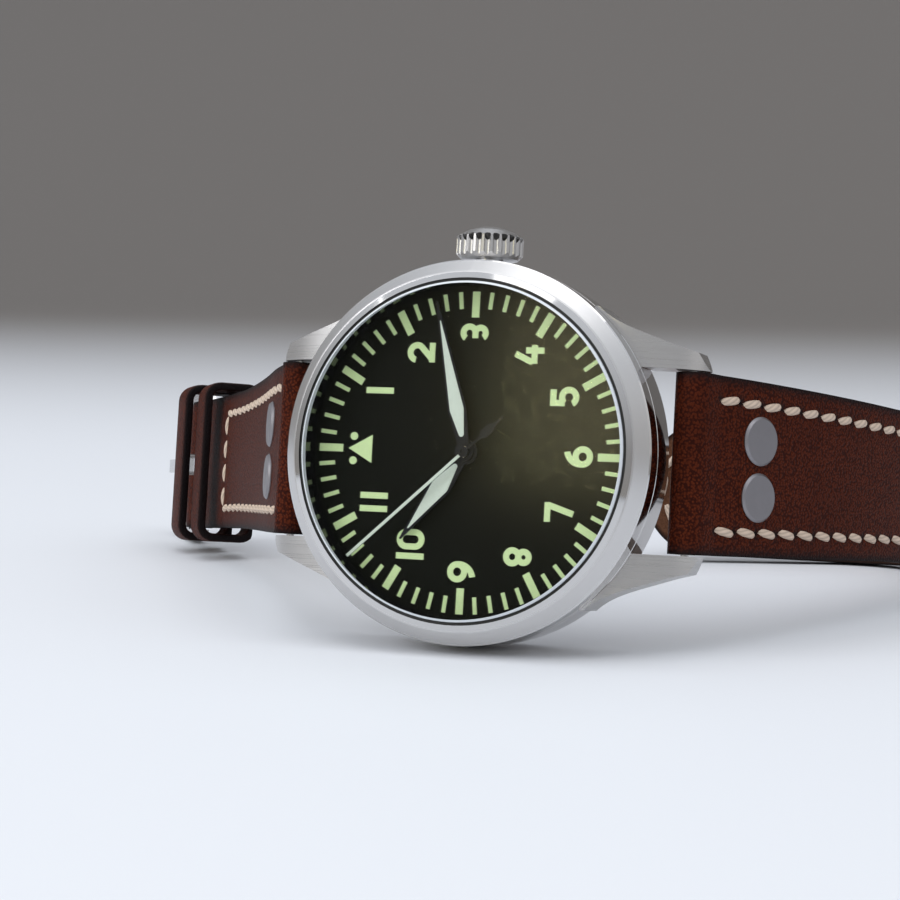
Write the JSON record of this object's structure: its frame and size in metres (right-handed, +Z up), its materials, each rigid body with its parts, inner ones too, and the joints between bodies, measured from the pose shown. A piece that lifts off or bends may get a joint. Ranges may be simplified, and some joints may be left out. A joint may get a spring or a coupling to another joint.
{
  "type": "wristwatch",
  "caption": "Round steel pilot watch with a black dial, luminous hands, fluted crown and a riveted brown leather strap closed by a pin buckle.",
  "frame": {"origin": "middle of the watch's footprint, on the floor it stands on", "axes": "+X from the 12 o'clock strap half to the 6 o'clock one, the dial facing -Y and leaning back by 9 degrees, +Z up towards the crown"},
  "size_m": [0.1194, 0.0882, 0.0461],
  "materials": {
    "case_steel": "fine circular and straight brushing",
    "polished_steel": "polished",
    "glass": "clear, both faces coated",
    "dial_black": "matte lacquer",
    "ring_black": "glossy black",
    "lume_green": "fine-grained luminous paint",
    "hand_lume": "fine-grained luminous paint",
    "hand_dark": "dark blue-black, semi-gloss",
    "leather_brown": "pebbled grain, waxed",
    "lining_leather": "smooth, matte",
    "movement_steel": "satin",
    "gilt_brass": "satin gilt",
    "seal_rubber": "matte",
    "ruby": "polished"
  },
  "bodies": {
    "case": {"case_middle": "case_steel", "bezel": "case_steel", "crystal": "glass", "rehaut_ring": "ring_black", "case_back": "case_steel", "back_window": "glass", "case_gaskets": "seal_rubber", "crown_gasket": "seal_rubber", "crown_tube": "polished_steel", "dial": "dial_black", "dial_markings": "lume_green", "movement_ring": "movement_steel", "casing_clamps": "movement_steel", "main_plate": "movement_steel", "barrel_bridge": "movement_steel", "train_bridge": "movement_steel", "balance_cock": "movement_steel", "pallet_bridge": "movement_steel", "movement_screws": "movement_steel", "jewels": "ruby", "click": "movement_steel", "rotor_bearing": "movement_steel", "lug_spring_bars": "polished_steel"},
    "winding_gear": {"winding_pinion": "movement_steel", "sliding_clutch": "movement_steel"},
    "crown_and_stem": {"crown": "case_steel", "winding_stem": "polished_steel"},
    "crown_wheel": {"crown_wheel": "movement_steel"},
    "ratchet": {"ratchet_wheel": "movement_steel", "barrel_arbor": "movement_steel"},
    "seconds": {"fourth_wheel": "gilt_brass", "seconds_hand": "hand_dark", "seconds_hand_lume": "hand_lume"},
    "third": {"third_wheel": "gilt_brass"},
    "centre": {"centre_wheel": "gilt_brass"},
    "escape": {"escape_wheel": "movement_steel"},
    "barrel": {"barrel": "gilt_brass", "mainspring": "movement_steel"},
    "pallets": {"pallet_fork": "movement_steel"},
    "balance": {"balance_wheel": "gilt_brass", "hairspring": "movement_steel"},
    "minutes": {"cannon_pinion": "movement_steel", "minute_hand": "hand_dark", "minute_hand_lume": "hand_lume"},
    "motion_wheel": {"minute_wheel": "movement_steel"},
    "hours": {"hour_wheel": "movement_steel", "hour_hand": "hand_dark", "hour_hand_lume": "hand_lume"},
    "rotor": {"rotor": "movement_steel"},
    "short_strap": {"strap_short": "leather_brown", "strap_short_lining": "lining_leather", "rivets_short": "polished_steel", "fixed_keeper": "leather_brown", "buckle_spring_bar": "polished_steel"},
    "loose_keeper": {"loose_keeper": "leather_brown"},
    "buckle": {"buckle": "case_steel"},
    "tongue": {"buckle_tongue": "polished_steel"},
    "long_strap": {"strap_long": "leather_brown", "strap_long_lining": "lining_leather", "rivets_long": "polished_steel"}
  },
  "joints": [
    {"name": "crown_turn", "type": "hinge", "parent": "case", "child": "winding_gear", "pos_m": [0.01502, -0.03329, 0.02962], "axis": [0, 0.1563, 0.9877], "continuous": true},
    {"name": "crown_pull", "type": "slide", "parent": "winding_gear", "child": "crown_and_stem", "axis": [0, 0.1563, 0.9877], "range_m": [0, 0.001]},
    {"name": "crown_wheel_turn", "type": "hinge", "parent": "case", "child": "crown_wheel", "pos_m": [0.01502, -0.03267, 0.02678], "axis": [0, -0.9877, 0.1563], "continuous": true},
    {"name": "ratchet_turn", "type": "hinge", "parent": "case", "child": "ratchet", "pos_m": [0.00953, -0.0331, 0.02409], "axis": [0, -0.9877, 0.1563], "continuous": true},
    {"name": "seconds_turn", "type": "hinge", "parent": "case", "child": "seconds", "pos_m": [0.01502, -0.03922, 0.02185], "axis": [0, -0.9877, 0.1563], "continuous": true},
    {"name": "third_turn", "type": "hinge", "parent": "case", "child": "third", "pos_m": [0.01632, -0.03491, 0.01756], "axis": [0, -0.9877, 0.1563], "continuous": true},
    {"name": "centre_turn", "type": "hinge", "parent": "case", "child": "centre", "pos_m": [0.01502, -0.03457, 0.02111], "axis": [0, -0.9877, 0.1563], "continuous": true},
    {"name": "escape_turn", "type": "hinge", "parent": "case", "child": "escape", "pos_m": [0.01852, -0.035, 0.02247], "axis": [0, -0.9877, 0.1563], "continuous": true},
    {"name": "barrel_turn", "type": "hinge", "parent": "case", "child": "barrel", "pos_m": [0.00953, -0.03429, 0.02428], "axis": [0, -0.9877, 0.1563], "continuous": true},
    {"name": "pallet_rock", "type": "hinge", "parent": "case", "child": "pallets", "pos_m": [0.02078, -0.03471, 0.02434], "axis": [0, -0.9877, 0.1563], "range_deg": [-5, 5]},
    {"name": "balance_swing", "type": "hinge", "parent": "case", "child": "balance", "pos_m": [0.02277, -0.03385, 0.0259], "axis": [0, -0.9877, 0.1563], "range_deg": [-120, 120], "stiffness_Nm_per_rad": 0.0000003, "deforming": ["hairspring"]},
    {"name": "minutes_turn", "type": "hinge", "parent": "case", "child": "minutes", "pos_m": [0.01502, -0.03883, 0.02179], "axis": [0, -0.9877, 0.1563], "continuous": true},
    {"name": "motion_wheel_turn", "type": "hinge", "parent": "case", "child": "motion_wheel", "pos_m": [0.0133, -0.03675, 0.01844], "axis": [0, -0.9877, 0.1563], "continuous": true},
    {"name": "hours_turn", "type": "hinge", "parent": "case", "child": "hours", "pos_m": [0.01502, -0.03843, 0.02172], "axis": [0, -0.9877, 0.1563], "continuous": true},
    {"name": "rotor_turn", "type": "hinge", "parent": "case", "child": "rotor", "pos_m": [0.01502, -0.0333, 0.02091], "axis": [0, -0.9877, 0.1563], "continuous": true},
    {"name": "short_strap_hinge", "type": "hinge", "parent": "case", "child": "short_strap", "pos_m": [-0.00823, -0.03216, 0.02073], "axis": [0, 0.1563, 0.9877], "range_deg": [-10, 50]},
    {"name": "keeper_slide", "type": "slide", "parent": "short_strap", "child": "loose_keeper", "axis": [-0.6088, 0.7836, -0.124], "range_m": [-0.012, 0.002]},
    {"name": "buckle_hinge", "type": "hinge", "parent": "short_strap", "child": "buckle", "pos_m": [-0.05034, 0.02784, 0.01123], "axis": [0, 0.1563, 0.9877], "range_deg": [-40, 45]},
    {"name": "tongue_hinge", "type": "hinge", "parent": "buckle", "child": "tongue", "pos_m": [-0.05034, 0.02784, 0.01123], "axis": [0, 0.1563, 0.9877], "range_deg": [0, 60]},
    {"name": "long_strap_hinge", "type": "hinge", "parent": "case", "child": "long_strap", "pos_m": [0.03827, -0.03216, 0.02073], "axis": [0, -0.1563, -0.9877], "range_deg": [-10, 50]}
  ],
  "couplings": [
    {"joint": "crown_wheel_turn", "follows": "crown_turn", "ratio": 0.4},
    {"joint": "ratchet_turn", "follows": "crown_turn", "ratio": -0.28571},
    {"joint": "third_turn", "follows": "seconds_turn", "ratio": -0.13333},
    {"joint": "centre_turn", "follows": "seconds_turn", "ratio": 0.016667},
    {"joint": "escape_turn", "follows": "seconds_turn", "ratio": -10},
    {"joint": "barrel_turn", "follows": "seconds_turn", "ratio": -0.0033333},
    {"joint": "motion_wheel_turn", "follows": "minutes_turn", "ratio": -0.33333},
    {"joint": "hours_turn", "follows": "minutes_turn", "ratio": 0.083333}
  ]
}
